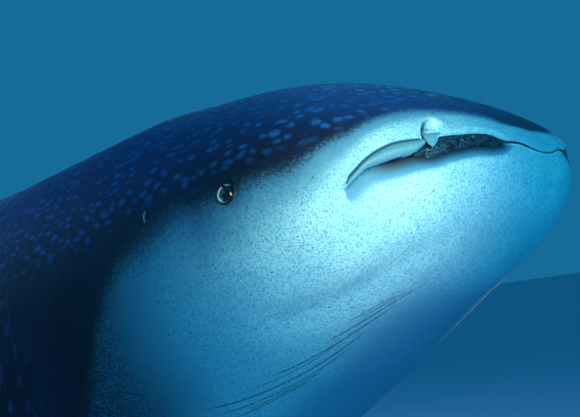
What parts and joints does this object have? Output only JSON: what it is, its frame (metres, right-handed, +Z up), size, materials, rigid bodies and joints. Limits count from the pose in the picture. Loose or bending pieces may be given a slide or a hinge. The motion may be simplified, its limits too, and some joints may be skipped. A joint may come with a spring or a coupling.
{
  "type": "whale shark",
  "caption": "Life-size whale shark swimming gently nose up, mouth just parted, tail in a slow sweep, held over a flat display base by short rods.",
  "frame": {"origin": "centre of the bounding box in plan, at the underside of the display base", "axes": "-Y towards the snout, +X to the shark's left, +Z up"},
  "size_m": [3.2746, 7.9682, 2.5471],
  "materials": {
    "back_skin": "satin, rough hide with pale spots and bars",
    "belly_skin": "satin, rough pale hide",
    "eye_gloss": "wet gloss",
    "stand_paint": "satin dark grey paint",
    "stand_steel": "brushed"
  },
  "bodies": {
    "root": {"head": "back_skin", "gill_region": "back_skin", "trunk_front": "back_skin", "trunk_rear": "back_skin", "tail_stalk": "back_skin", "caudal_fin": "back_skin", "first_dorsal_fin": "back_skin", "second_dorsal_fin": "back_skin", "pectoral_fin_left": "back_skin", "pectoral_fin_right": "back_skin", "lower_jaw": "belly_skin", "anal_fin": "belly_skin", "pelvic_fin_left": "belly_skin", "pelvic_fin_right": "belly_skin", "eye_left": "eye_gloss", "eye_right": "eye_gloss", "stand_base": "stand_paint", "stand_rod_front": "stand_steel", "stand_rod_rear": "stand_steel"}
  },
  "joints": []
}
